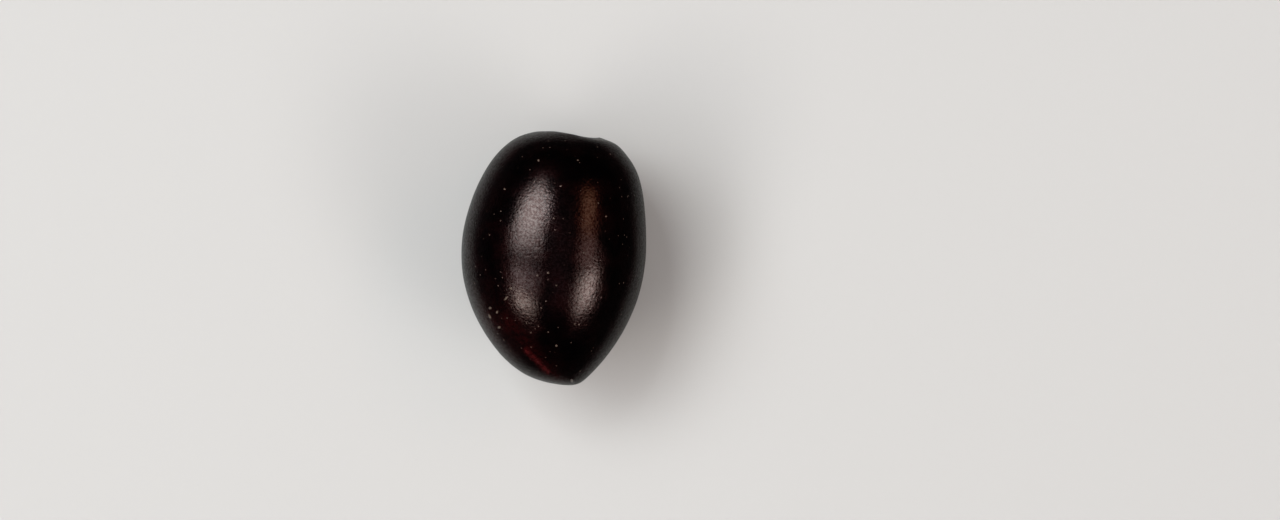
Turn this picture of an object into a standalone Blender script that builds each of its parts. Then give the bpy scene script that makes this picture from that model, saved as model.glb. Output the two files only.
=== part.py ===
"""A picked Mission olive lying on its side. The stem end is towards +Y, the tip towards -Y, and it rests on z = 0."""

import bmesh
import bpy
import numpy as np

MM = 0.001

# Whole fruit.
HALF_WIDTH = 8.935 * MM
HALF_THICKNESS = 8.75 * MM
HALF_LENGTH = 12.315 * MM

# Fullness of the outline: each value bulges the side with two, three, four or five waves from end to end.
FULL_STEM_HALF = 0.075
SQUARE_ENDS = 0.0186
STEM_SHOULDER = 0.025
TIP_ROUNDING = 0.0125

# Path of the centre line from tip to stem: it leans, it bends, and the tip is turned aside.
LEAN_TO_STEM = 0.916 * MM
BEND = 1.196 * MM
TIP_SHIFT = 1.147 * MM
TIP_REACH = 36

# The stem end faces a little sideways.
STEM_SLANT = 0.154

# Stem cavity, by distance from its middle.
CAVITY_OVAL = 0.10
RIDGE_RADIUS = 2.80 * MM
RIDGE_WIDTH = 1.20 * MM
RIDGE_HEIGHT = 0.10 * MM
DISH_FLOOR = 1.45 * MM
DISH_RIM = 2.75 * MM
DISH_DEPTH = 0.62 * MM
COLLAR_RADIUS = 1.28 * MM
COLLAR_WIDTH = 0.27 * MM
COLLAR_HEIGHT = 0.26 * MM
PIT_RADIUS = 1.04 * MM
PIT_WALL = 0.15 * MM
PIT_DEPTH = 1.45 * MM

# Broad, shallow unevenness of the skin.
WAVE_HEIGHT = 0.04 * MM

# The small flat spot it rests on.
FLAT_DEPTH = 0.24 * MM
FLAT_EDGE = 0.06 * MM

AROUND = 64
RINGS = 72
POLE_SPACING = 0.66


def ring_angles(share):
    """Angles of the rings from the stem pole, closer together at both ends."""
    eased = share * share * (3.0 - 2.0 * share)
    return POLE_SPACING * share + (np.pi - POLE_SPACING) * eased


def side_profile(angle):
    """Radius of a ring as a share of the half width."""
    fullness = FULL_STEM_HALF * np.sin(2 * angle)
    ends = SQUARE_ENDS * np.sin(3 * angle)
    shoulder = STEM_SHOULDER * np.sin(4 * angle)
    rounding = TIP_ROUNDING * np.sin(5 * angle)
    return np.sin(angle) + fullness + ends + shoulder + rounding


def centre_line(along):
    """Sideways place of a ring's centre, for along from 1 at the stem pole to -1 at the tip."""
    near_tip = ((1.0 - along) / 2.0) ** TIP_REACH
    return LEAN_TO_STEM * along + BEND * along**2 + TIP_SHIFT * near_tip


def bell(distance, width):
    return np.exp(-((distance / width) ** 2))


def ramp(value, start, end):
    share = np.clip((value - start) / (end - start), 0.0, 1.0)
    return share * share * (3.0 - 2.0 * share)


def cavity(reach, turn):
    """Height of the stem end's relief at a distance from the middle of the cavity."""
    oval = reach / (1.0 - CAVITY_OVAL * np.cos(2 * turn))
    ridge = RIDGE_HEIGHT * bell(oval - RIDGE_RADIUS, RIDGE_WIDTH)
    dish = DISH_DEPTH * (1.0 - ramp(oval, DISH_FLOOR, DISH_RIM))
    ragged = 1.0 + 0.20 * np.sin(3 * turn + 0.6) + 0.15 * np.sin(5 * turn + 2.1)
    collar = COLLAR_HEIGHT * ragged * bell(reach - COLLAR_RADIUS, COLLAR_WIDTH)
    wall = ramp(reach, PIT_RADIUS - PIT_WALL, PIT_RADIUS + PIT_WALL)
    floor = 1.0 + 0.25 * (1.0 - (reach / PIT_RADIUS) ** 2)
    pit = PIT_DEPTH * (1.0 - wall) * floor
    return ridge + collar - dish - pit


def waves(angle, turn):
    """Broad unevenness, gone at both poles."""
    first = np.sin(2 * turn + 3.1 * angle + 0.4)
    second = np.sin(3 * turn - 2.3 * angle + 1.9)
    third = 0.6 * np.sin(5 * turn + 4.2 * angle)
    return WAVE_HEIGHT * (first + second + third) / 2.0 * np.sin(angle) ** 2


def flatten(height, lowest):
    """Presses the lowest part level, with a softly rounded edge."""
    above = height - lowest - FLAT_DEPTH
    edge = (above + FLAT_EDGE) ** 2 / (4.0 * FLAT_EDGE)
    pressed = np.where(above <= -FLAT_EDGE, 0.0, edge)
    return np.where(above >= FLAT_EDGE, above, pressed)


def fruit_points(sphere):
    """Moves the points of a unit sphere with its pole on +Z to the fruit's surface."""
    share = np.arccos(np.clip(sphere[:, 2], -1.0, 1.0)) / np.pi
    turn = np.arctan2(sphere[:, 1], sphere[:, 0])
    angle = ring_angles(share)
    along = np.cos(angle)
    profile = side_profile(angle)
    uneven = waves(angle, turn)
    x = centre_line(along) + (HALF_WIDTH * profile + uneven) * np.cos(turn)
    z = (HALF_THICKNESS * profile + uneven) * np.sin(turn)
    y = HALF_LENGTH * along - STEM_SLANT * x * (1.0 + along) / 2.0
    y = y + np.where(along > 0.5, cavity(HALF_WIDTH * profile, turn), 0.0)
    z = flatten(z, z.min())
    x = x - (x.max() + x.min()) / 2.0
    y = y - (y.max() + y.min()) / 2.0
    return np.stack([x, y, z], axis=1)


def skin_material():
    material = bpy.data.materials.new("olive_skin")
    material.use_nodes = True
    shader = material.node_tree.nodes["Principled BSDF"]
    shader.inputs["Base Color"].default_value = (0.010, 0.004, 0.005, 1.0)
    shader.inputs["Roughness"].default_value = 0.32
    return material


def build_olive(collection):
    mesh = bpy.data.meshes.new("olive")
    shape = bmesh.new()
    bmesh.ops.create_uvsphere(shape, u_segments=AROUND, v_segments=RINGS, radius=1.0)
    sphere = np.array([vert.co for vert in shape.verts])
    for vert, point in zip(shape.verts, fruit_points(sphere)):
        vert.co = point
    bmesh.ops.reverse_faces(shape, faces=shape.faces)
    for face in shape.faces:
        face.smooth = True
    shape.to_mesh(mesh)
    shape.free()
    mesh.materials.append(skin_material())
    olive = bpy.data.objects.new("olive", mesh)
    collection.objects.link(olive)


def main():
    for thing in list(bpy.data.objects):
        bpy.data.objects.remove(thing, do_unlink=True)
    collection = bpy.data.collections.new("mission_olive")
    bpy.context.scene.collection.children.link(collection)
    build_olive(collection)


main()
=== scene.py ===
"""Looks of the picked olive around its solid: fine skin, stem scar, finishes, floor, lamps and camera."""

import math

import bmesh
import bpy
import numpy as np
from mathutils import Matrix, Vector, noise


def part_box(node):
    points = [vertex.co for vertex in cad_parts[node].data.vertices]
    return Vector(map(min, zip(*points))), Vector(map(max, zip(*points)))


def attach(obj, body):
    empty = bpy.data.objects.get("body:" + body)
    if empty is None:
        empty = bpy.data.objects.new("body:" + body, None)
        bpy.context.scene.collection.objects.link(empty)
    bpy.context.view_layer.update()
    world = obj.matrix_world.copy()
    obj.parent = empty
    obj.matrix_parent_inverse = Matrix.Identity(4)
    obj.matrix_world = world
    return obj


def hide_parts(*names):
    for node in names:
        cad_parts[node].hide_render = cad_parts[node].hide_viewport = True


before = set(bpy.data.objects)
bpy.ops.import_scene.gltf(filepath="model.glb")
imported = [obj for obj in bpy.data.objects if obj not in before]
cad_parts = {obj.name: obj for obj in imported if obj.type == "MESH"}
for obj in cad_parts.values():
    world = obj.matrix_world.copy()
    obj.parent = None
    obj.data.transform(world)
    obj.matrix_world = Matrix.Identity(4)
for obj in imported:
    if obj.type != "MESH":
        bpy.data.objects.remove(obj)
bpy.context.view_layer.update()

MM = 0.001

# Whole fruit, as in the solid.
HALF_WIDTH = 8.935 * MM
HALF_THICKNESS = 8.75 * MM
HALF_LENGTH = 12.315 * MM

# Fullness of the outline: each value bulges the side with two, three, four or five waves from end to end.
FULL_STEM_HALF = 0.075
SQUARE_ENDS = 0.0186
STEM_SHOULDER = 0.025
TIP_ROUNDING = 0.0125

# Path of the centre line from tip to stem: it leans, it bends, and the tip is turned aside.
LEAN_TO_STEM = 0.916 * MM
BEND = 1.196 * MM
TIP_SHIFT = 1.147 * MM
TIP_REACH = 36

# The stem end faces a little sideways.
STEM_SLANT = 0.154

# Stem cavity, by distance from its middle.
CAVITY_OVAL = 0.10
RIDGE_RADIUS = 2.80 * MM
RIDGE_WIDTH = 1.20 * MM
RIDGE_HEIGHT = 0.10 * MM
DISH_FLOOR = 1.45 * MM
DISH_RIM = 2.75 * MM
DISH_DEPTH = 0.62 * MM
COLLAR_RADIUS = 1.28 * MM
COLLAR_WIDTH = 0.27 * MM
COLLAR_HEIGHT = 0.26 * MM
PIT_RADIUS = 1.04 * MM
PIT_WALL = 0.15 * MM
PIT_DEPTH = 1.45 * MM

# Uneven rim of the cavity, left and right: the shoulders swell outside it, and it is lower at both sides.
LEFT_SWELL = 0.18 * MM
LEFT_SWELL_REACH = 5.2 * MM
LEFT_SWELL_WIDTH = 2.2 * MM
LEFT_HOLLOW = 0.16 * MM
LEFT_HOLLOW_REACH = 2.5 * MM
LEFT_HOLLOW_WIDTH = 0.7 * MM
RIGHT_SWELL = 0.27 * MM
RIGHT_SWELL_REACH = 4.2 * MM
RIGHT_SWELL_WIDTH = 1.15 * MM
RIGHT_HOLLOW = 0.12 * MM
RIGHT_HOLLOW_REACH = 2.6 * MM
RIGHT_HOLLOW_WIDTH = 0.8 * MM

# Torn edges in the cavity. The flesh is bared widely on one side of the pit and hardly on the other.
SCAR_REACH = 3.9 * MM
COARSE_TEARS = 0.55 * MM
FINE_TEARS = 0.20 * MM
SCALLOPS = 0.09
SCALLOPS_END = 2.0 * MM
FLESH_SIDE = 2.6
FLESH_BROAD = 2.00 * MM
FLESH_NARROW = 1.22 * MM
FLESH_RAGGED = 0.22 * MM
FLESH_SOFTNESS = 0.26 * MM
FLESH_LUMPS = 0.035 * MM
STREAK_HEIGHT = 0.030 * MM
STREAK_CIRCLE = 1.4 * MM
STREAK_SIZE = 0.13 * MM
PALE_EDGE_SIDE = 5.3
PALE_EDGE_WIDTH = 0.055 * MM
PIT_LUMPS = 0.20 * MM

# Wrinkles and a low crest around the torn part.
WRINKLE_HEIGHT = 0.012 * MM
WRINKLE_SPACING = 0.42 * MM
WRINKLE_MIDDLE = 2.35 * MM
WRINKLE_WIDTH = 0.55 * MM
WRINKLE_WANDER = 1.3 * MM
CREST_HEIGHT = 0.02 * MM
CREST_WIDTH = 0.45 * MM

# Lump of dry stalk on the pit's wall: half sizes, place from the pit's middle, and its grain and lumps.
STALK_HALF_SIZE = (0.44 * MM, 0.66 * MM, 0.72 * MM)
STALK_PLACE = (0.68 * MM, 0.88 * MM, 0.12 * MM)
STALK_GRAIN_HEIGHT = 0.045 * MM
STALK_GRAIN_SIZE = 0.11 * MM
STALK_GRAIN_STRETCH = (1.0, 0.22, 1.0)
STALK_LUMP_HEIGHT = 0.15 * MM
STALK_LUMP_SIZE = 0.36 * MM

# Torn fibres around the pit.
RIM_ABOVE_PIT = 1.70 * MM
FIBRE_TURNS = (0.10, 0.45, 1.1, 1.9, 3.0, 3.9, 4.7, 5.3, 5.9)
FIBRE_LENGTHS = (0.55, 0.85)
FIBRE_WIDTHS = (0.026, 0.040)
FIBRE_SIDES = 7
FIBRE_STEPS = 9
FIBRE_TAPER = 0.90

# Unevenness of the skin, from broad to fine.
WAVE_HEIGHT = 0.04 * MM
LUMP_HEIGHT = 0.018 * MM
LUMP_SIZE = 2.6 * MM
PEBBLE_HEIGHT = 0.0022 * MM
PEBBLE_SIZE = 0.50 * MM

# Marks in the skin, by place seen from above: a raised pale grey speck on the tip and a red streak beside it.
TIP_SPECK = (1.75 * MM, -11.72 * MM)
TIP_SPECK_RADIUS = 0.24 * MM
TIP_SPECK_HEIGHT = 0.05 * MM
STREAK_PATH = ((-2.6 * MM, -8.8 * MM), (-0.5 * MM, -10.9 * MM))
STREAK_WIDTH = 0.24 * MM
FAINT_STREAK_PATH = ((-4.3 * MM, -6.0 * MM), (0.3 * MM, -11.4 * MM))
FAINT_STREAK_WIDTH = 0.65 * MM
RED_FLANK = (-5.4 * MM, -5.6 * MM)
RED_FLANK_RADIUS = 3.2 * MM
DOTTED_FLANK_RADIUS = 3.5 * MM

# The largest corky dots, in mm: place, half length, half width and turn.
# They reach a few mm deep, to meet the skin.
DOT_DEPTH = 4.0
LARGE_DOTS = (
    ((-4.46, -3.83, 15), 0.27, 0.12, 0.86),
    ((-6.05, -5.57, 13), 0.27, 0.13, -1.13),
    ((-6.00, -4.75, 13), 0.16, 0.15, 0.0),
    ((-5.33, -5.15, 14), 0.17, 0.13, 1.4),
    ((-3.97, -2.86, 15), 0.15, 0.14, 0.0),
    ((-5.14, -6.60, 13), 0.18, 0.15, 0.2),
    ((-1.36, 9.35, 14), 0.13, 0.12, 0.0),
    ((2.40, 9.35, 14), 0.13, 0.11, 0.0),
    ((-4.60, 6.60, 14), 0.12, 0.11, 0.0),
    ((-0.40, -1.40, 17), 0.12, 0.11, 0.0),
    ((0.34, -8.35, 14), 0.14, 0.14, 0.0),
    ((5.10, 4.00, 14), 0.13, 0.11, 0.0),
)
# A yellowish one beside the cavity.
SCAR_DOT = (4.20, 11.29, 10.93)
SCAR_DOT_RADIUS = 0.24

# The small flat spot it rests on.
FLAT_DEPTH = 0.24 * MM
FLAT_EDGE = 0.06 * MM

AROUND = 320
RINGS = 300
POLE_SPACING = 0.66

# Colours of the skin and its marks.
SKIN_BLACK = (0.0012, 0.0006, 0.0010, 1.0)
SKIN_PURPLE = (0.0046, 0.0013, 0.0017, 1.0)
BLUSH_RED = (0.060, 0.0115, 0.0125, 1.0)
SMALL_DOT_CORK = (0.085, 0.070, 0.058, 1.0)
LARGE_DOT_CORK = (0.072, 0.058, 0.047, 1.0)
SCAR_DOT_YELLOW = (0.26, 0.22, 0.11, 1.0)
TIP_SPECK_GREY = (0.085, 0.080, 0.074, 1.0)

# Colours of torn tissue, dark where it is wet and pale where it is dry. In the pit the near-black end is
# painted shade in the hole, mixed with orange-brown tissue.
MOIST_FLESH = ((0.050, 0.026, 0.018, 1.0), (0.14, 0.098, 0.074, 1.0))
BROWN_FLESH = ((0.010, 0.004, 0.003, 1.0), (0.058, 0.026, 0.012, 1.0))
PIT_SHADE_AND_TISSUE = ((0.004, 0.002, 0.0015, 1.0), (0.075, 0.023, 0.006, 1.0))
BROWN_STALK = ((0.035, 0.011, 0.004, 1.0), (0.27, 0.085, 0.022, 1.0))
PALE_FIBRE = ((0.22, 0.15, 0.08, 1.0), (0.50, 0.42, 0.26, 1.0))
TORN_EDGE = (0.17, 0.145, 0.09, 1.0)

# Fineness of the patterns, in waves or cells to the metre.
MOTTLE = 420.0
BLUSH_MOTTLE = 2400.0
DOT_CELLS = 1300.0
TIP_SPECK_MOTTLE = 4200.0
WAX_PATCHES = 4600.0
SKIN_GRANULES = 4400.0
SKIN_PEBBLES = 2400.0
MOIST_FLESH_GRAIN = 3600.0
BROWN_FLESH_GRAIN = 2600.0
PIT_GRAIN = 1900.0
STALK_GRAIN = 3000.0
FIBRE_GRAIN = 2600.0

# Gloss: thin, patchy wax over the skin.
SKIN_IOR = 1.45
SKIN_SHEEN = 0.39
SKIN_SHEEN_TINT = (1.0, 0.74, 0.72, 1.0)
SKIN_ROUGHNESS = (0.19, 0.25)
WAX_WEIGHT = 0.55
WAX_ROUGHNESS = 0.23
FLESH_ROUGHNESS = 0.36
STALK_ROUGHNESS = 0.55

# Depth of the finest grain, and how much higher the dots and the torn flesh stand than a granule.
GRAIN_DEPTH = 0.0155 * MM
GRAIN_STRENGTH = 0.74
DOT_RISE = 1.2
LARGE_DOT_RISE = 2.7
FLESH_RISE = 7.7
STALK_GRAIN_DEPTH = 0.05 * MM
STALK_GRAIN_STRENGTH = 0.6

# The photograph's frame, 1280 by 520 pixels, and the fruit's middle in it.
FRAME_WIDTH_PX = 1280
FRAME_MIDDLE_PX = (640, 260)
FRUIT_MIDDLE_PX = (553.8, 258.3)
FRAME_WIDTH = 125.7 * MM
SENSOR_WIDTH_MM = 36.0
CAMERA_HEIGHT = 0.5

LAMP_HEIGHT = 1.2
FLOOR_SIZE = 3.0
FLOOR_PALE = (0.455, 0.465, 0.47, 1.0)
FLOOR_ROUGHNESS = 0.9
FLOOR_SHEEN = 0.1

# Painted reflection: the floor is painted darker where the fruit mirrors it, so the fruit mirrors only the
# near floor. Around a spot to the left, the mirrored floor fades into painted dark, which stands for the dark
# room.
MIRRORED_FLOOR = (12 * MM, 44 * MM)
MIRRORED_MIDDLE = (-4.5 * MM, -1.0 * MM, 0.0)
PAINTED_REFLECTION_NEAR = (0.20, 0.21, 0.21, 1.0)
PAINTED_REFLECTION_FAR = (0.03, 0.03, 0.03, 1.0)

# The surroundings as the camera sees them, as they fill the shadows, and as the skin mirrors them.
WHITE = (1.0, 1.0, 1.0, 1.0)
BACKDROP = (0.55, 0.55, 0.54, 1.0)
FILL_LIGHT = 0.28
DARK_ROOM = 0.01

# The darkest tones are drawn down softly, as in the photograph: light and the value shown for it.
TOE = ((0.008, 0.0025), (0.02, 0.0125), (0.05, 0.044), (0.12, 0.118))


def ring_angles(share):
    """Angles of the rings from the stem pole, closer together at both ends."""
    eased = share * share * (3.0 - 2.0 * share)
    return POLE_SPACING * share + (np.pi - POLE_SPACING) * eased


def side_profile(angle):
    """Radius of a ring as a share of the half width."""
    fullness = FULL_STEM_HALF * np.sin(2 * angle)
    ends = SQUARE_ENDS * np.sin(3 * angle)
    shoulder = STEM_SHOULDER * np.sin(4 * angle)
    rounding = TIP_ROUNDING * np.sin(5 * angle)
    return np.sin(angle) + fullness + ends + shoulder + rounding


def centre_line(along):
    """Sideways place of a ring's centre, for along from 1 at the stem pole to -1 at the tip."""
    near_tip = ((1.0 - along) / 2.0) ** TIP_REACH
    return LEAN_TO_STEM * along + BEND * along**2 + TIP_SHIFT * near_tip


def bell(distance, width):
    return np.exp(-((distance / width) ** 2))


def ramp(value, start, end):
    share = np.clip((value - start) / (end - start), 0.0, 1.0)
    return share * share * (3.0 - 2.0 * share)


def oval_reach(reach, turn):
    return reach / (1.0 - CAVITY_OVAL * np.cos(2 * turn))


def cavity(reach, turn):
    """Height of the stem end's relief at a distance from the middle of the cavity."""
    oval = oval_reach(reach, turn)
    ridge = RIDGE_HEIGHT * bell(oval - RIDGE_RADIUS, RIDGE_WIDTH)
    dish = DISH_DEPTH * (1.0 - ramp(oval, DISH_FLOOR, DISH_RIM))
    ragged = 1.0 + 0.20 * np.sin(3 * turn + 0.6) + 0.15 * np.sin(5 * turn + 2.1)
    collar = COLLAR_HEIGHT * ragged * bell(reach - COLLAR_RADIUS, COLLAR_WIDTH)
    wall = ramp(reach, PIT_RADIUS - PIT_WALL, PIT_RADIUS + PIT_WALL)
    floor = 1.0 + 0.25 * (1.0 - (reach / PIT_RADIUS) ** 2)
    pit = PIT_DEPTH * (1.0 - wall) * floor
    return ridge + collar - dish - pit


def uneven_rim(reach, turn):
    """Swells and hollows around the cavity, which make its rim unlike at the left and the right."""
    left = np.clip(-np.cos(turn), 0.0, 1.0)
    right = np.clip(np.cos(turn), 0.0, 1.0)
    left_swell = LEFT_SWELL * left * bell(reach - LEFT_SWELL_REACH, LEFT_SWELL_WIDTH)
    left_hollow = LEFT_HOLLOW * left**3 * bell(reach - LEFT_HOLLOW_REACH, LEFT_HOLLOW_WIDTH)
    right_swell = RIGHT_SWELL * right * bell(reach - RIGHT_SWELL_REACH, RIGHT_SWELL_WIDTH)
    beside_right = 4.0 * right * (1.0 - right)
    right_hollow = RIGHT_HOLLOW * beside_right * bell(reach - RIGHT_HOLLOW_REACH, RIGHT_HOLLOW_WIDTH)
    return left_swell - left_hollow + right_swell - right_hollow


def waves(angle, turn):
    """Broad unevenness, gone at both poles."""
    first = np.sin(2 * turn + 3.1 * angle + 0.4)
    second = np.sin(3 * turn - 2.3 * angle + 1.9)
    third = 0.6 * np.sin(5 * turn + 4.2 * angle)
    return WAVE_HEIGHT * (first + second + third) / 2.0 * np.sin(angle) ** 2


def flatten(height, lowest):
    """Presses the lowest part level, with a softly rounded edge."""
    above = height - lowest - FLAT_DEPTH
    edge = (above + FLAT_EDGE) ** 2 / (4.0 * FLAT_EDGE)
    pressed = np.where(above <= -FLAT_EDGE, 0.0, edge)
    return np.where(above >= FLAT_EDGE, above, pressed)


def noise_at(points, size):
    """Smooth noise from about -1 to 1 at each point, with lumps of about the given size."""
    return np.array([noise.noise(Vector(point)) for point in points / size])


class StemScar:
    """The cavity seen close up: where the flesh is torn, and how its surface runs."""

    def __init__(self, reach, turn):
        spots = np.stack([reach * np.cos(turn), reach * np.sin(turn), 0.0 * reach], axis=1)
        coarse = noise_at(spots, COARSE_TEARS)
        fine = noise_at(spots, FINE_TEARS)
        scallops = 0.5 * np.sin(5 * turn + 0.8) + 0.35 * np.sin(11 * turn + 2.0) + 1.1 * coarse
        torn = reach / (1.0 + SCALLOPS * scallops * (1.0 - ramp(reach, COLLAR_RADIUS, SCALLOPS_END)))
        broad = 0.5 + 0.5 * np.cos(turn - FLESH_SIDE)
        outer = FLESH_NARROW + (FLESH_BROAD - FLESH_NARROW) * broad**1.3 + FLESH_RAGGED * coarse
        self.flesh = 1.0 - ramp(reach, outer - FLESH_SOFTNESS, outer + 0.6 * FLESH_SOFTNESS)
        self.moist = self.flesh * ramp(broad + 0.5 * coarse, 0.25, 0.75)
        self.pit = 1.0 - ramp(torn, PIT_RADIUS - PIT_WALL, PIT_RADIUS + 0.2 * PIT_WALL)
        shown = ramp(0.45 * np.cos(turn - PALE_EDGE_SIDE) + 1.2 * coarse, -0.15, 0.40)
        self.edge = bell(torn - PIT_RADIUS - PIT_WALL, PALE_EDGE_WIDTH) * shown

        circle = (STREAK_CIRCLE * np.cos(turn), STREAK_CIRCLE * np.sin(turn), 0.25 * reach)
        self.streaks = noise_at(np.stack(circle, axis=1), STREAK_SIZE)
        oval = oval_reach(reach, turn)
        wander = 2.5 * noise_at(spots, WRINKLE_WANDER)
        wrinkles = np.sin(2 * np.pi * oval / WRINKLE_SPACING + wander)
        relief = WRINKLE_HEIGHT * wrinkles * bell(oval - WRINKLE_MIDDLE, WRINKLE_WIDTH)
        relief = relief + CREST_HEIGHT * bell(oval - RIDGE_RADIUS, CREST_WIDTH)
        torn_relief = FLESH_LUMPS * (coarse + 0.6 * fine) + STREAK_HEIGHT * self.streaks
        relief = relief + torn_relief * self.flesh * (1.0 - self.pit)
        relief = relief + PIT_LUMPS * (coarse + 0.35 * fine) * self.pit
        self.height = cavity(torn, turn) + relief * (1.0 - ramp(reach, 0.9 * SCAR_REACH, SCAR_REACH))


def linked(name, shape, material):
    """A mesh object made of a bmesh, smooth shaded, at the origin."""
    mesh = bpy.data.meshes.new(name)
    for face in shape.faces:
        face.smooth = True
    shape.to_mesh(mesh)
    shape.free()
    mesh.materials.append(material)
    thing = bpy.data.objects.new(name, mesh)
    bpy.context.scene.collection.objects.link(thing)
    return thing


def move_to(shape, points):
    for vert, point in zip(shape.verts, points):
        vert.co = point


def mark(thing, name, values):
    """Keeps a number for each point of a piece, for its material to read."""
    layer = thing.data.attributes.new(name, "FLOAT", "POINT")
    layer.data.foreach_set("value", np.asarray(values, dtype=np.float32))


def distance_to(points, middle):
    """Distance of each point from a spot, seen from above."""
    return np.linalg.norm(points[:, :2] - np.array(middle), axis=1)


def distance_to_line(points, start, end):
    """Distance of each point from a straight stretch, seen from above."""
    start, end = np.array(start), np.array(end)
    along = (points[:, :2] - start) @ (end - start) / ((end - start) @ (end - start))
    nearest = start + np.clip(along, 0.0, 1.0)[:, None] * (end - start)
    return np.linalg.norm(points[:, :2] - nearest, axis=1)


def blush(points):
    """Where the skin is redder and thinner: a streak beside the tip and the flank above it."""
    upper = ramp(points[:, 2], 3.0 * MM, 8.0 * MM)
    streak = bell(distance_to_line(points, *STREAK_PATH), STREAK_WIDTH)
    faint = bell(distance_to_line(points, *FAINT_STREAK_PATH), FAINT_STREAK_WIDTH)
    flank = bell(distance_to(points, RED_FLANK), RED_FLANK_RADIUS)
    return upper * np.clip(0.48 * streak + 0.11 * faint + 0.07 * flank, 0.0, 1.0)


def fitted(points):
    """Brings the fine surface to the solid's box, which the solid's flat facets make a hair smaller."""
    low, high = points.min(axis=0), points.max(axis=0)
    wanted_low, wanted_high = (np.array(corner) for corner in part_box("olive"))
    return wanted_low + (points - low) * (wanted_high - wanted_low) / (high - low)


def fruit(material):
    """The whole fruit, with lumps and pebbling in its skin and a torn scar in its stem cavity."""
    shape = bmesh.new()
    bmesh.ops.create_uvsphere(shape, u_segments=AROUND, v_segments=RINGS, radius=1.0)
    sphere = np.array([vert.co for vert in shape.verts])
    share = np.arccos(np.clip(sphere[:, 2], -1.0, 1.0)) / np.pi
    turn = np.arctan2(sphere[:, 1], sphere[:, 0])
    angle = ring_angles(share)
    along = np.cos(angle)
    profile = side_profile(angle)
    reach = HALF_WIDTH * profile
    scarred = (along > 0.5) & (reach < SCAR_REACH)
    scar = StemScar(reach[scarred], turn[scarred])
    relief = np.where(along > 0.5, cavity(reach, turn), 0.0)
    relief[scarred] = scar.height
    relief = relief + uneven_rim(reach, turn) * ramp(along, 0.5, 0.7)

    uneven = waves(angle, turn)
    x = centre_line(along) + (reach + uneven) * np.cos(turn)
    z = (HALF_THICKNESS * profile + uneven) * np.sin(turn)
    y = HALF_LENGTH * along - STEM_SLANT * x * (1.0 + along) / 2.0 + relief
    z = flatten(z, z.min())
    x = x - (x.max() + x.min()) / 2.0
    y = y - (y.max() + y.min()) / 2.0
    points = np.stack([x, y, z], axis=1)
    move_to(shape, points)
    bmesh.ops.reverse_faces(shape, faces=shape.faces)

    shape.normal_update()
    normals = np.array([vert.normal for vert in shape.verts])
    pebbled = LUMP_HEIGHT * noise_at(points, LUMP_SIZE) + PEBBLE_HEIGHT * noise_at(points, PEBBLE_SIZE)
    skin_only = np.ones(len(points))
    skin_only[scarred] = 1.0 - scar.flesh
    pebbled = pebbled * skin_only * ramp(points[:, 2], 0.0, 0.5 * MM)
    speck = bell(distance_to(points, TIP_SPECK), TIP_SPECK_RADIUS) * ramp(points[:, 2], 8.0 * MM, 9.0 * MM)
    pebbled = pebbled + TIP_SPECK_HEIGHT * speck
    points = fitted(points + normals * pebbled[:, None])
    move_to(shape, points)

    thing = linked("fruit", shape, material)
    for name in ("flesh", "moist", "pit", "edge", "streaks"):
        values = np.zeros(len(points))
        values[scarred] = getattr(scar, name)
        mark(thing, name, values)
    mark(thing, "speck", speck)
    mark(thing, "blush", blush(points))
    mark(thing, "dotted", 0.85 + 0.15 * bell(distance_to(points, RED_FLANK), DOTTED_FLANK_RADIUS))
    pole = np.argmax(sphere[:, 2])
    return thing, points[pole]


def stalk_remnant(pit_middle, material):
    """A lump of dry stalk tissue left on the pit's wall."""
    shape = bmesh.new()
    bmesh.ops.create_icosphere(shape, subdivisions=5, radius=1.0)
    bmesh.ops.scale(shape, verts=shape.verts, vec=STALK_HALF_SIZE)
    points = np.array([vert.co for vert in shape.verts])
    normals = np.array([vert.normal for vert in shape.verts])
    grain = STALK_GRAIN_HEIGHT * noise_at(points * np.array(STALK_GRAIN_STRETCH), STALK_GRAIN_SIZE)
    lumps = STALK_LUMP_HEIGHT * noise_at(points, STALK_LUMP_SIZE)
    move_to(shape, points + normals * (grain + lumps)[:, None])
    bmesh.ops.translate(shape, verts=shape.verts, vec=Vector(pit_middle) + Vector(STALK_PLACE))
    return linked("stalk_remnant", shape, material)


def fibre(shape, path, width):
    """One fine fibre along a path, thinning towards its end."""
    upright = Matrix.Translation(path[0]) @ Matrix.Rotation(-math.pi / 2.0, 4, "X")
    foot = bmesh.ops.create_circle(
        shape, cap_ends=True, segments=FIBRE_SIDES, radius=width, matrix=upright
    )["verts"]
    face = foot[0].link_faces[0]
    for start, end in zip(path, path[1:]):
        made = bmesh.ops.extrude_face_region(shape, geom=[face])["geom"]
        ring = [item for item in made if isinstance(item, bmesh.types.BMVert)]
        face = next(item for item in made if isinstance(item, bmesh.types.BMFace))
        bmesh.ops.translate(shape, verts=ring, vec=end - start)
        bmesh.ops.scale(shape, verts=ring, vec=(FIBRE_TAPER,) * 3, space=Matrix.Translation(-end))


def torn_fibres(pit_middle, material):
    """Fine pale fibres that stand out of the torn edge."""
    shape = bmesh.new()
    rng = np.random.default_rng(7)
    rim = Vector(pit_middle) + Vector((0.0, RIM_ABOVE_PIT, 0.0))
    for turn in FIBRE_TURNS:
        outward = Vector((math.cos(turn), -STEM_SLANT * math.cos(turn), math.sin(turn)))
        sideways = Vector((-math.sin(turn), 0.0, math.cos(turn))) * rng.uniform(-0.6, 0.6)
        lean = rng.choice((-0.9, 0.8))
        length = rng.uniform(*FIBRE_LENGTHS) * MM
        path = []
        for share in np.linspace(0.0, 1.0, FIBRE_STEPS):
            rise = Vector((0.0, length * (0.95 * share - 0.75 * share**2), 0.0))
            drift = (outward * lean + sideways * share) * length * share
            path.append(rim + outward * (PIT_RADIUS + PIT_WALL) + rise + drift)
        fibre(shape, path, rng.uniform(*FIBRE_WIDTHS) * MM)
    bmesh.ops.recalc_face_normals(shape, faces=shape.faces)
    return linked("torn_fibres", shape, material)


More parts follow.
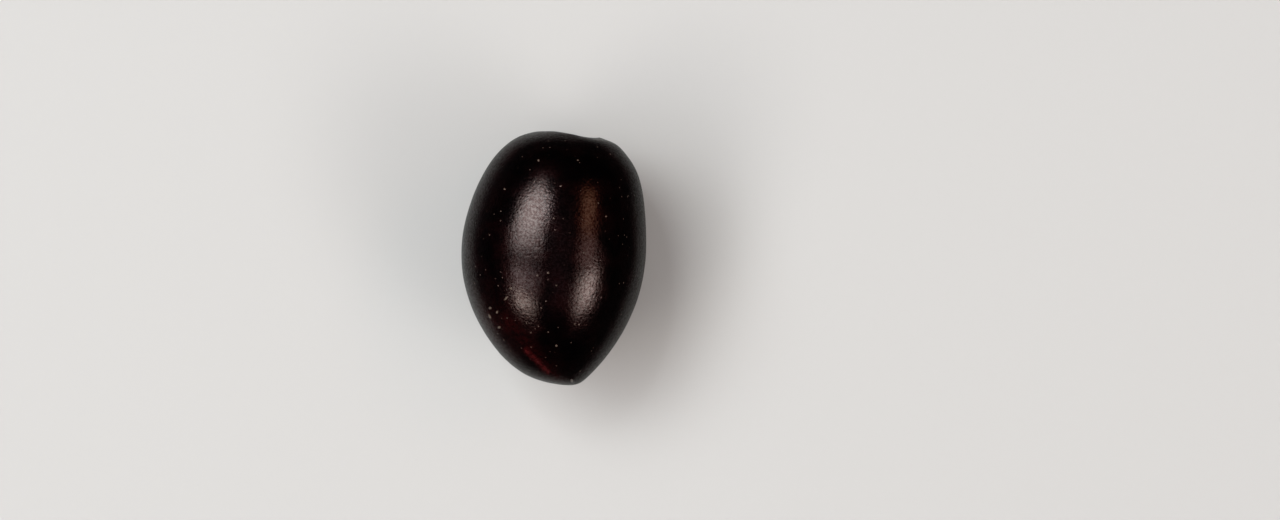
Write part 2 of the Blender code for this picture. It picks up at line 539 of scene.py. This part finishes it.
def add(tree, kind, **inputs):
    """A node with some of its inputs or properties set."""
    node = tree.nodes.new(kind)
    for name, value in inputs.items():
        if hasattr(node, name):
            setattr(node, name, value)
        else:
            node.inputs[name.replace("_", " ")].default_value = value
    return node


def blend(tree, factor, first, second, kind="RGBA"):
    """A mix of two colours, or of two numbers for the kind FLOAT, each a socket or a plain value."""
    node = add(tree, "ShaderNodeMix", data_type=kind)
    for name, value in (("Factor", factor), ("A", first), ("B", second)):
        if isinstance(value, bpy.types.NodeSocket):
            tree.links.new(value, node.inputs[name])
        else:
            node.inputs[name].default_value = value
    return node.outputs["Result"]


def calc(tree, operation, first, second=0.0):
    """A sum on numbers, each a socket or a plain value."""
    node = add(tree, "ShaderNodeMath", operation=operation)
    for slot, value in enumerate((first, second)):
        if isinstance(value, bpy.types.NodeSocket):
            tree.links.new(value, node.inputs[slot])
        else:
            node.inputs[slot].default_value = value
    return node.outputs["Value"]


def between(tree, value, start, end, low=0.0, high=1.0):
    """Eases a number from low to high while it goes from start to end."""
    node = add(tree, "ShaderNodeMapRange", interpolation_type="SMOOTHSTEP")
    node.inputs["From Min"].default_value = start
    node.inputs["From Max"].default_value = end
    node.inputs["To Min"].default_value = low
    node.inputs["To Max"].default_value = high
    tree.links.new(value, node.inputs["Value"])
    return node.outputs["Result"]


def speckle(tree, place, scale, detail=3.0, roughness=0.55):
    node = add(tree, "ShaderNodeTexNoise", Scale=scale, Detail=detail, Roughness=roughness)
    tree.links.new(place, node.inputs["Vector"])
    return node.outputs["Fac"]


def granules(tree, place, scale):
    """Tiny domes packed side by side, 1 on top and near 0 between them."""
    cells = add(tree, "ShaderNodeTexVoronoi", feature="SMOOTH_F1", Scale=scale, Smoothness=0.25)
    tree.links.new(place, cells.inputs["Vector"])
    return calc(tree, "SUBTRACT", 1.0, calc(tree, "POWER", cells.outputs["Distance"], 2.0))


def kept(tree, name):
    """One of the numbers kept for each point of the piece."""
    return add(tree, "ShaderNodeAttribute", attribute_name=name).outputs["Fac"]


def torn_tissue():
    """Shared look of torn plant tissue: colour from dark and wet to pale and dry, and its grain. In the pit
    its dark end is painted shade.
    """
    group = bpy.data.node_groups.new("torn tissue", "ShaderNodeTree")
    sockets = group.interface
    sockets.new_socket("Vector", in_out="INPUT", socket_type="NodeSocketVector")
    sockets.new_socket("Dark", in_out="INPUT", socket_type="NodeSocketColor")
    sockets.new_socket("Pale", in_out="INPUT", socket_type="NodeSocketColor")
    sockets.new_socket("Grain", in_out="INPUT", socket_type="NodeSocketFloat")
    sockets.new_socket("Color", in_out="OUTPUT", socket_type="NodeSocketColor")
    sockets.new_socket("Height", in_out="OUTPUT", socket_type="NodeSocketFloat")
    given = group.nodes.new("NodeGroupInput")
    result = group.nodes.new("NodeGroupOutput")
    clumps = add(group, "ShaderNodeTexNoise", Detail=5.0, Roughness=0.65)
    group.links.new(given.outputs["Vector"], clumps.inputs["Vector"])
    group.links.new(given.outputs["Grain"], clumps.inputs["Scale"])
    paleness = between(group, clumps.outputs["Fac"], 0.36, 0.66)
    colour = blend(group, paleness, given.outputs["Dark"], given.outputs["Pale"])
    group.links.new(colour, result.inputs["Color"])
    group.links.new(clumps.outputs["Fac"], result.inputs["Height"])
    return group


def tissue(tree, group, place, colours, grain):
    node = add(tree, "ShaderNodeGroup")
    node.node_tree = group
    node.inputs["Dark"].default_value = colours[0]
    node.inputs["Pale"].default_value = colours[1]
    node.inputs["Grain"].default_value = grain
    tree.links.new(place, node.inputs["Vector"])
    return node


def bumped(tree, height, distance, strength):
    node = add(tree, "ShaderNodeBump", Strength=strength, Distance=distance)
    tree.links.new(height, node.inputs["Height"])
    return node.outputs["Normal"]


def spot(tree, place, middle, reach, turn=0.0):
    """A soft oval spot from 0 to 1, of the given half sizes in mm."""
    near = add(tree, "ShaderNodeMapping", vector_type="TEXTURE")
    near.inputs["Location"].default_value = Vector(middle) * MM
    near.inputs["Rotation"].default_value = (0.0, 0.0, turn)
    near.inputs["Scale"].default_value = Vector(reach) * MM
    tree.links.new(place, near.inputs["Vector"])
    distance = add(tree, "ShaderNodeVectorMath", operation="LENGTH")
    tree.links.new(near.outputs["Vector"], distance.inputs["Vector"])
    return between(tree, distance.outputs["Value"], 1.15, 0.35)


def small_dots(tree, place):
    """Scattered corky dots, one to a cell at most, and how strongly each of them shows."""
    cells = add(tree, "ShaderNodeTexVoronoi", Scale=DOT_CELLS)
    tree.links.new(place, cells.inputs["Vector"])
    chance = add(tree, "ShaderNodeSeparateColor")
    tree.links.new(cells.outputs["Color"], chance.inputs["Color"])
    present = calc(tree, "LESS_THAN", chance.outputs["Red"], kept(tree, "dotted"))
    dots = calc(tree, "MULTIPLY", between(tree, cells.outputs["Distance"], 0.155, 0.05), present)
    faintness = between(tree, chance.outputs["Green"], 0.0, 1.0, 0.08, 0.66)
    return dots, calc(tree, "MULTIPLY", dots, faintness)


def large_dots(tree, place):
    """The largest corky dots, each at its own place."""
    spots = 0.0
    for middle, half_length, half_width, turn in LARGE_DOTS:
        dot = spot(tree, place, middle, (half_length, half_width, DOT_DEPTH), turn)
        spots = calc(tree, "MAXIMUM", spots, dot)
    return spots


def skin_material(tissue_group):
    """Ripe olive skin: waxy purple-black, pebbled and dotted, with the torn flesh of the stem scar."""
    material = bpy.data.materials.new("ripe olive skin")
    material.use_nodes = True
    tree = material.node_tree
    link = tree.links.new
    shader = tree.nodes["Principled BSDF"]
    shader.inputs["IOR"].default_value = SKIN_IOR
    shader.inputs["Specular IOR Level"].default_value = SKIN_SHEEN
    shader.inputs["Specular Tint"].default_value = SKIN_SHEEN_TINT
    shader.inputs["Coat Roughness"].default_value = WAX_ROUGHNESS
    shader.inputs["Coat IOR"].default_value = SKIN_IOR
    place = add(tree, "ShaderNodeTexCoord").outputs["Object"]

    mottle = speckle(tree, place, MOTTLE, 5.0, 0.62)
    skin = blend(tree, between(tree, mottle, 0.38, 0.70), SKIN_BLACK, SKIN_PURPLE)
    patches = between(tree, speckle(tree, place, BLUSH_MOTTLE), 0.20, 0.62)
    skin = blend(tree, calc(tree, "MULTIPLY", kept(tree, "blush"), patches), skin, BLUSH_RED)
    dots, shown_dots = small_dots(tree, place)
    skin = blend(tree, shown_dots, skin, SMALL_DOT_CORK)
    corky = large_dots(tree, place)
    skin = blend(tree, corky, skin, LARGE_DOT_CORK)
    skin = blend(tree, spot(tree, place, SCAR_DOT, (SCAR_DOT_RADIUS,) * 3), skin, SCAR_DOT_YELLOW)
    # The tip speck: a mottled pale grey patch.
    speck_pattern = calc(tree, "MULTIPLY", kept(tree, "speck"), speckle(tree, place, TIP_SPECK_MOTTLE))
    skin = blend(tree, between(tree, speck_pattern, 0.24, 0.50), skin, TIP_SPECK_GREY)

    torn = tissue(tree, tissue_group, place, MOIST_FLESH, MOIST_FLESH_GRAIN)
    brown = tissue(tree, tissue_group, place, BROWN_FLESH, BROWN_FLESH_GRAIN)
    # In the pit: near-black painted shade mixed at random with orange-brown tissue.
    deep = tissue(tree, tissue_group, place, PIT_SHADE_AND_TISSUE, PIT_GRAIN)
    flesh = kept(tree, "flesh")
    streaky = between(tree, kept(tree, "streaks"), -0.5, 0.3, 0.45, 1.0)
    moist = calc(tree, "MULTIPLY", kept(tree, "moist"), streaky)
    bared = blend(tree, moist, brown.outputs["Color"], torn.outputs["Color"])
    surface = blend(tree, flesh, skin, bared)
    surface = blend(tree, kept(tree, "edge"), surface, TORN_EDGE)
    # The pit gets its painted shade and tissue colour here.
    surface = blend(tree, kept(tree, "pit"), surface, deep.outputs["Color"])
    link(surface, shader.inputs["Base Color"])

    skin_roughness = between(tree, mottle, 0.3, 0.7, *SKIN_ROUGHNESS)
    link(blend(tree, flesh, skin_roughness, FLESH_ROUGHNESS, "FLOAT"), shader.inputs["Roughness"])
    wax = between(tree, speckle(tree, place, WAX_PATCHES, 2.0), 0.39, 0.62, 0.0, WAX_WEIGHT)
    link(calc(tree, "MULTIPLY", wax, calc(tree, "SUBTRACT", 1.0, flesh)), shader.inputs["Coat Weight"])

    pebbles = calc(tree, "ADD", granules(tree, place, SKIN_GRANULES), speckle(tree, place, SKIN_PEBBLES, 2.0))
    raised_dots = calc(tree, "MULTIPLY", dots, DOT_RISE)
    raised_cork = calc(tree, "MULTIPLY", corky, LARGE_DOT_RISE)
    skin_height = calc(tree, "ADD", pebbles, calc(tree, "ADD", raised_dots, raised_cork))
    flesh_height = calc(tree, "MULTIPLY", torn.outputs["Height"], FLESH_RISE)
    height = blend(tree, flesh, skin_height, flesh_height, "FLOAT")
    link(bumped(tree, height, GRAIN_DEPTH, GRAIN_STRENGTH), shader.inputs["Normal"])
    return material


def stalk_material(name, tissue_group, colours, grain):
    """Dry stalk tissue, in the colours given."""
    material = bpy.data.materials.new(name)
    material.use_nodes = True
    tree = material.node_tree
    shader = tree.nodes["Principled BSDF"]
    shader.inputs["Roughness"].default_value = STALK_ROUGHNESS
    place = add(tree, "ShaderNodeTexCoord").outputs["Object"]
    node = tissue(tree, tissue_group, place, colours, grain)
    tree.links.new(node.outputs["Color"], shader.inputs["Base Color"])
    normal = bumped(tree, node.outputs["Height"], STALK_GRAIN_DEPTH, STALK_GRAIN_STRENGTH)
    tree.links.new(normal, shader.inputs["Normal"])
    return material


def floor():
    """A plain pale floor, painted darker in what the fruit mirrors of it: a painted dim reflection."""
    material = bpy.data.materials.new("plain pale floor")
    material.use_nodes = True
    tree = material.node_tree
    shader = tree.nodes["Principled BSDF"]
    # Painted reflection: glossy rays see the floor darker, dim near the fruit and dark further out.
    reflected = add(tree, "ShaderNodeLightPath").outputs["Is Glossy Ray"]
    distance = add(tree, "ShaderNodeVectorMath", operation="DISTANCE")
    distance.inputs[1].default_value = MIRRORED_MIDDLE
    tree.links.new(add(tree, "ShaderNodeTexCoord").outputs["Object"], distance.inputs[0])
    far = between(tree, distance.outputs["Value"], *MIRRORED_FLOOR)
    mirrored = blend(tree, far, PAINTED_REFLECTION_NEAR, PAINTED_REFLECTION_FAR)
    tree.links.new(blend(tree, reflected, FLOOR_PALE, mirrored), shader.inputs["Base Color"])
    shader.inputs["Roughness"].default_value = FLOOR_ROUGHNESS
    shader.inputs["Specular IOR Level"].default_value = FLOOR_SHEEN
    shape = bmesh.new()
    bmesh.ops.create_grid(shape, x_segments=1, y_segments=1, size=FLOOR_SIZE / 2.0)
    linked("floor", shape, material)


def lamp(name, across, along, radiance, colour=WHITE[:3], fade=(0.3,) * 4, turn=0.0, mirrored=True):
    """A soft rectangular lamp overhead, facing down.

    across and along are the angles of its sides from straight above, in degrees, towards +X and towards +Y,
    before it is turned about its middle. fade is the share of its face over which it dims towards its -X, +X,
    -Y and +Y side. One that isn't mirrored lights the floor, and doesn't show in the glossy skin.
    """
    sides = (*across, *along)
    left, right, near, far = (math.tan(math.radians(angle)) * LAMP_HEIGHT for angle in sides)
    light = bpy.data.lights.new(name, "AREA")
    light.shape = "RECTANGLE"
    light.size = right - left
    light.size_y = far - near
    light.energy = radiance * math.pi * light.size * light.size_y
    light.color = colour
    light.use_nodes = True
    tree = light.node_tree
    face = add(tree, "ShaderNodeSeparateXYZ")
    tree.links.new(add(tree, "ShaderNodeNewGeometry").outputs["Parametric"], face.inputs["Vector"])
    glow = between(tree, face.outputs["X"], 0.0, fade[0])
    for axis, start, end in (("X", 1.0, 1.0 - fade[1]), ("Y", 0.0, fade[2]), ("Y", 1.0, 1.0 - fade[3])):
        glow = calc(tree, "MULTIPLY", glow, between(tree, face.outputs[axis], start, end))
    tree.links.new(glow, tree.nodes["Emission"].inputs["Strength"])
    thing = bpy.data.objects.new(name, light)
    thing.location = ((left + right) / 2.0, (near + far) / 2.0, LAMP_HEIGHT)
    thing.rotation_euler.z = math.radians(turn)
    thing.visible_camera = False
    thing.visible_glossy = mirrored
    bpy.context.scene.collection.objects.link(thing)


def left_lamps():
    """A long strip of unequal brightness, brightest above, with a small glint at its inner edge."""
    lamp(
        "upper left lamp",
        (-58, -16),
        (-14, 48),
        10.0,
        colour=(1.0, 1.0, 0.97),
        fade=(0.70, 0.05, 0.65, 0.45),
        turn=8,
    )
    lamp("small bright lamp", (-18, -12.5), (22, 32), 28.0)
    lamp(
        "middle left lamp",
        (-55.5, -5),
        (-40, 16),
        3.2,
        colour=(1.0, 0.90, 0.90),
        fade=(0.2, 0.8, 0.3, 0.5),
    )
    lamp(
        "lower left lamp",
        (-57, -20),
        (-54, -18),
        10.6,
        colour=(1.0, 0.93, 0.84),
        fade=(0.15, 0.7, 0.3, 0.5),
    )


def right_lamps():
    """A narrower strip, dim and brownish above and bright below."""
    lamp(
        "upper right lamp",
        (28, 53),
        (9, 41),
        2.6,
        colour=(1.0, 0.62, 0.42),
        fade=(0.5, 0.3, 0.3, 0.3),
    )
    lamp(
        "middle right lamp",
        (22, 55),
        (-20, 20),
        1.8,
        colour=(1.0, 0.74, 0.68),
        fade=(0.5, 0.3, 0.3, 0.3),
    )
    lamp(
        "lower right lamp",
        (24, 59.5),
        (-57.5, 2),
        9.5,
        colour=(1.0, 0.92, 0.85),
        fade=(0.7, 0.2, 0.22, 0.50),
        turn=10,
    )


def lamps():
    """A strip of lamps on each side, a faint glow between them, and daylight on the floor alone."""
    left_lamps()
    right_lamps()
    lamp("faint overhead glow", (-30, 45), (-52, 38), 0.22, colour=(1.0, 0.80, 0.85))
    lamp("left daylight", (-52, -30), (-32, 32), 6.0, mirrored=False)


def surroundings():
    """A pale backdrop for the camera, a little fill light, and a dark room in the skin's reflections."""
    world = bpy.data.worlds.new("studio")
    world.use_nodes = True
    tree = world.node_tree
    tree.nodes.clear()
    rays = tree.nodes.new("ShaderNodeLightPath")
    seen = add(tree, "ShaderNodeBackground", Color=BACKDROP, Strength=1.0)
    fill = add(tree, "ShaderNodeBackground", Color=WHITE, Strength=FILL_LIGHT)
    dark = add(tree, "ShaderNodeBackground", Color=WHITE, Strength=DARK_ROOM)
    gloss = tree.nodes.new("ShaderNodeMixShader")
    view = tree.nodes.new("ShaderNodeMixShader")
    output = tree.nodes.new("ShaderNodeOutputWorld")
    tree.links.new(rays.outputs["Is Glossy Ray"], gloss.inputs["Fac"])
    tree.links.new(fill.outputs["Background"], gloss.inputs[1])
    tree.links.new(dark.outputs["Background"], gloss.inputs[2])
    tree.links.new(rays.outputs["Is Camera Ray"], view.inputs["Fac"])
    tree.links.new(gloss.outputs["Shader"], view.inputs[1])
    tree.links.new(seen.outputs["Background"], view.inputs[2])
    tree.links.new(view.outputs["Shader"], output.inputs["Surface"])
    bpy.context.scene.world = world


def camera():
    """Straight above the middle of the photograph's frame, with the fruit left of it."""
    scale = FRAME_WIDTH / FRAME_WIDTH_PX * (CAMERA_HEIGHT - HALF_THICKNESS) / CAMERA_HEIGHT
    lens = bpy.data.cameras.new("camera")
    lens.sensor_width = SENSOR_WIDTH_MM
    lens.lens = SENSOR_WIDTH_MM * CAMERA_HEIGHT / FRAME_WIDTH
    thing = bpy.data.objects.new("camera", lens)
    thing.location.x = (FRAME_MIDDLE_PX[0] - FRUIT_MIDDLE_PX[0]) * scale
    thing.location.y = (FRUIT_MIDDLE_PX[1] - FRAME_MIDDLE_PX[1]) * scale
    thing.location.z = CAMERA_HEIGHT
    bpy.context.scene.collection.objects.link(thing)
    bpy.context.scene.camera = thing


def tones():
    """Plain tones, but for the darkest ones."""
    view = bpy.context.scene.view_settings
    view.view_transform = "Standard"
    view.use_curve_mapping = True
    for light, shown in TOE:
        view.curve_mapping.curves[3].points.new(light, shown)
    view.curve_mapping.update()


def main():
    tissue_group = torn_tissue()
    olive, pit_middle = fruit(skin_material(tissue_group))
    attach(olive, "root")
    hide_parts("olive")
    brown = stalk_material("brown stalk tissue", tissue_group, BROWN_STALK, STALK_GRAIN)
    pale = stalk_material("pale torn fibre", tissue_group, PALE_FIBRE, FIBRE_GRAIN)
    for piece in (stalk_remnant(pit_middle, brown), torn_fibres(pit_middle, pale)):
        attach(piece, "root")
    floor()
    lamps()
    surroundings()
    camera()
    tones()


main()
